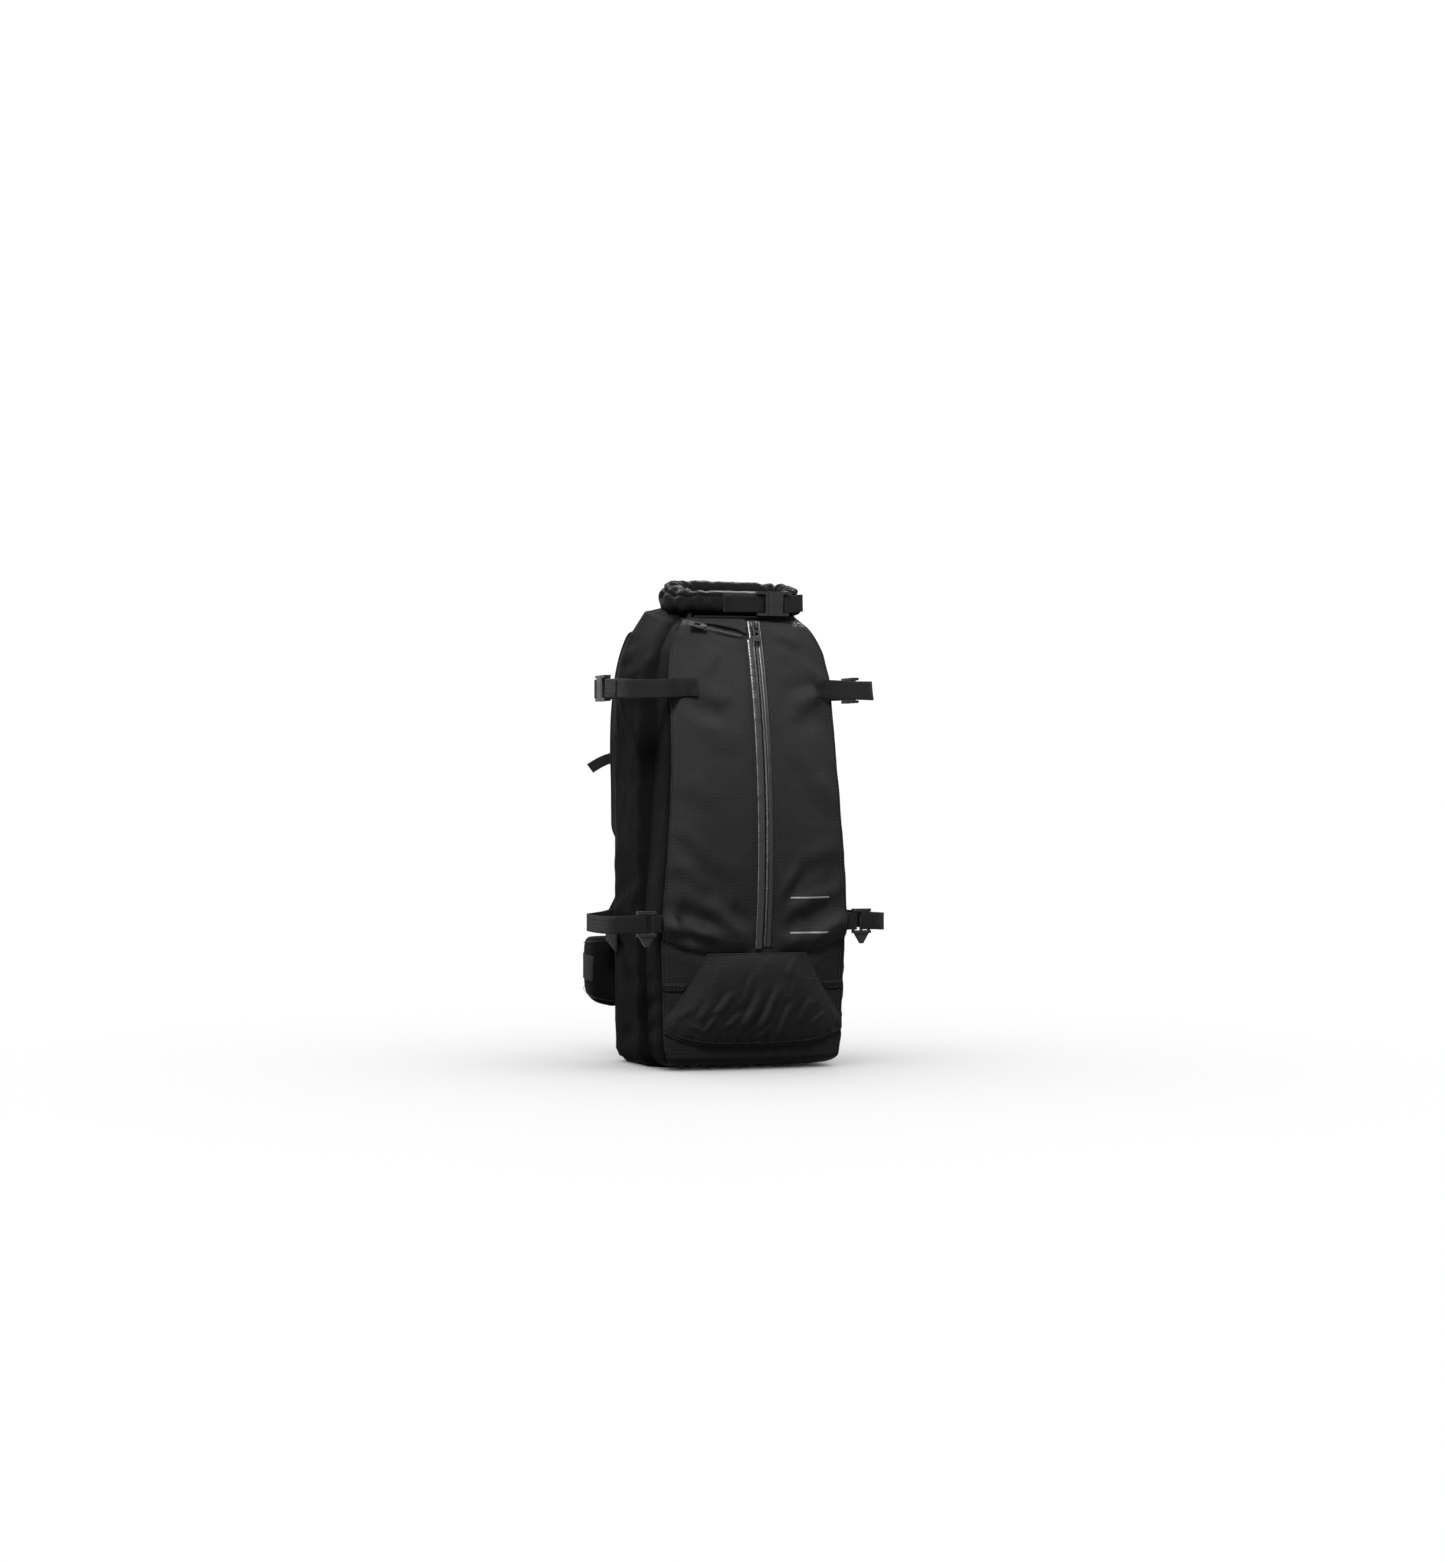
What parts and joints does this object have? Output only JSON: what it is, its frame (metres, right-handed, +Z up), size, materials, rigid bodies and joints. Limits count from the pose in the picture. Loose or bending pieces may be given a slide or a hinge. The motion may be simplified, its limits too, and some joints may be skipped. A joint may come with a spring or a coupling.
{
  "type": "ski backpack",
  "caption": "Tall roll-top ski backpack with an arched front zip, a lower pocket, a foam harness with hip belt and webbing loops for carrying skis on its sides.",
  "frame": {"origin": "the middle of the pack's flat base, on the surface it stands on", "axes": "+Z up the pack, -Y out of its front away from the wearer, +Y towards the wearer, +X to the right as seen from the front"},
  "size_m": [0.3362, 0.3379, 0.5635],
  "materials": {
    "shell_fabric": "smooth woven nylon",
    "ripstop_fabric": "ripstop weave",
    "webbing": "ribbed woven webbing",
    "foam_mesh": "spacer mesh over foam",
    "lining": "light woven lining",
    "buckle_plastic": "satin",
    "zip_laminate": "glossy coated tape",
    "sheet_plastic": "satin",
    "alloy": "brushed"
  },
  "bodies": {
    "pack": {"body_shell": "shell_fabric", "base_panel": "shell_fabric", "front_panel": "ripstop_fabric", "lower_pocket": "ripstop_fabric", "pocket_bands": "webbing", "front_zip": "zip_laminate", "front_zip_flap": "zip_laminate", "top_pocket_flap": "ripstop_fabric", "top_zip": "zip_laminate", "collar": "shell_fabric", "back_panel": "foam_mesh", "back_pads": "foam_mesh", "lumbar_pad": "foam_mesh", "frame_sheet": "sheet_plastic", "frame_stays": "alloy", "hydration_sleeve": "lining", "shoulder_strap_left": "foam_mesh", "shoulder_strap_right": "foam_mesh", "strap_webbing_left": "webbing", "strap_webbing_right": "webbing", "strap_anchors": "webbing", "load_lifters": "webbing", "lifter_locks": "buckle_plastic", "ski_straps_upper": "webbing", "ski_strap_ends": "webbing", "ski_buckle_females": "buckle_plastic", "ski_straps_lower": "webbing", "ski_tabs_lower": "webbing", "haul_anchor": "webbing", "sternum_rails": "sheet_plastic"},
    "roll": {"roll_top": "shell_fabric", "roll_stiffener": "sheet_plastic", "throat_cap": "shell_fabric", "roll_strap_left": "webbing", "roll_strap_right": "webbing", "roll_buckle_female": "buckle_plastic"},
    "roll_latch": {"roll_buckle_male": "buckle_plastic"},
    "front_slider": {"front_zip_slider": "buckle_plastic"},
    "front_pull": {"front_zip_pull": "webbing"},
    "top_slider": {"top_zip_slider": "alloy"},
    "top_pull": {"top_zip_pull": "webbing"},
    "haul": {"haul_loop": "webbing"},
    "hip_left": {"hip_wing_left": "foam_mesh", "hip_webbing_left": "webbing", "hip_buckle_male": "buckle_plastic"},
    "hip_right": {"hip_wing_right": "foam_mesh", "hip_webbing_right": "webbing", "hip_buckle_female": "buckle_plastic"},
    "sternum": {"sternum_sliders": "buckle_plastic", "sternum_tail": "webbing", "sternum_webbing_left": "webbing", "sternum_webbing_right": "webbing", "sternum_buckle_female": "buckle_plastic"},
    "sternum_latch": {"sternum_buckle_male": "buckle_plastic"},
    "strap_lock_l": {"strap_lock_left": "buckle_plastic"},
    "strap_lock_r": {"strap_lock_right": "buckle_plastic"},
    "ski_latch_l": {"ski_buckle_male_left": "buckle_plastic"},
    "ski_latch_r": {"ski_buckle_male_right": "buckle_plastic"},
    "ski_lock_l": {"ski_lock_left": "buckle_plastic"},
    "ski_lock_r": {"ski_lock_right": "buckle_plastic"}
  },
  "joints": [
    {"name": "roll_top_lift", "type": "slide", "parent": "pack", "child": "roll", "axis": [0, 0, 1], "range_m": [0, 0.08], "deforming": ["collar"]},
    {"name": "roll_buckle_release", "type": "slide", "parent": "roll", "child": "roll_latch", "axis": [-1, 0, 0], "range_m": [0, 0.025], "deforming": ["roll_strap_left"]},
    {"name": "front_zip_travel", "type": "hinge", "parent": "pack", "child": "front_slider", "pos_m": [0.008, 0.5632, 0.2574], "axis": [1, 0, 0], "range_deg": [0, 29.5]},
    {"name": "front_pull_flip", "type": "hinge", "parent": "front_slider", "child": "front_pull", "pos_m": [0.008, -0.0756, 0.50804], "axis": [-1, 0, 0], "range_deg": [0, 150]},
    {"name": "top_zip_travel", "type": "slide", "parent": "pack", "child": "top_slider", "axis": [0.9628, -0.1771, -0.204], "range_m": [0, 0.0436]},
    {"name": "top_pull_flip", "type": "hinge", "parent": "top_slider", "child": "top_pull", "pos_m": [-0.05347, -0.07334, 0.50553], "axis": [0.2543, 0.3385, 0.906], "range_deg": [0, 150]},
    {"name": "haul_loop_flip", "type": "hinge", "parent": "pack", "child": "haul", "pos_m": [0, 0.086, 0.5], "axis": [-1, 0, 0], "range_deg": [0, 95]},
    {"name": "hip_wing_left_swing", "type": "hinge", "parent": "pack", "child": "hip_left", "pos_m": [-0.106, 0.0913, 0.104], "axis": [0, 0, 1], "range_deg": [-8, 55]},
    {"name": "hip_wing_right_swing", "type": "hinge", "parent": "pack", "child": "hip_right", "pos_m": [0.106, 0.0913, 0.104], "axis": [0, 0, -1], "range_deg": [-8, 55]},
    {"name": "sternum_height", "type": "slide", "parent": "pack", "child": "sternum", "axis": [0, 0, 1], "range_m": [-0.02, 0.02]},
    {"name": "sternum_buckle_release", "type": "slide", "parent": "sternum", "child": "sternum_latch", "axis": [-1, 0, 0], "range_m": [0, 0.025], "deforming": ["sternum_webbing_left"]},
    {"name": "strap_lock_left_tilt", "type": "hinge", "parent": "pack", "child": "strap_lock_l", "pos_m": [-0.089, 0.09852, 0.25054], "axis": [1, 0, 0], "range_deg": [0, 35], "deforming": ["strap_webbing_left"]},
    {"name": "strap_lock_right_tilt", "type": "hinge", "parent": "pack", "child": "strap_lock_r", "pos_m": [0.089, 0.09852, 0.25054], "axis": [1, 0, 0], "range_deg": [0, 35], "deforming": ["strap_webbing_right"]},
    {"name": "ski_buckle_left_release", "type": "slide", "parent": "pack", "child": "ski_latch_l", "axis": [0, -1, 0], "range_m": [0, 0.025], "deforming": ["ski_strap_ends"]},
    {"name": "ski_buckle_right_release", "type": "slide", "parent": "pack", "child": "ski_latch_r", "axis": [0, -1, 0], "range_m": [0, 0.025], "deforming": ["ski_strap_ends"]},
    {"name": "ski_lock_left_tilt", "type": "hinge", "parent": "pack", "child": "ski_lock_l", "pos_m": [-0.1197, -0.0967, 0.168], "axis": [0, 0, 1], "range_deg": [0, 35], "deforming": ["ski_tabs_lower"]},
    {"name": "ski_lock_right_tilt", "type": "hinge", "parent": "pack", "child": "ski_lock_r", "pos_m": [0.1197, -0.0967, 0.168], "axis": [0, 0, -1], "range_deg": [0, 35], "deforming": ["ski_tabs_lower"]}
  ]
}
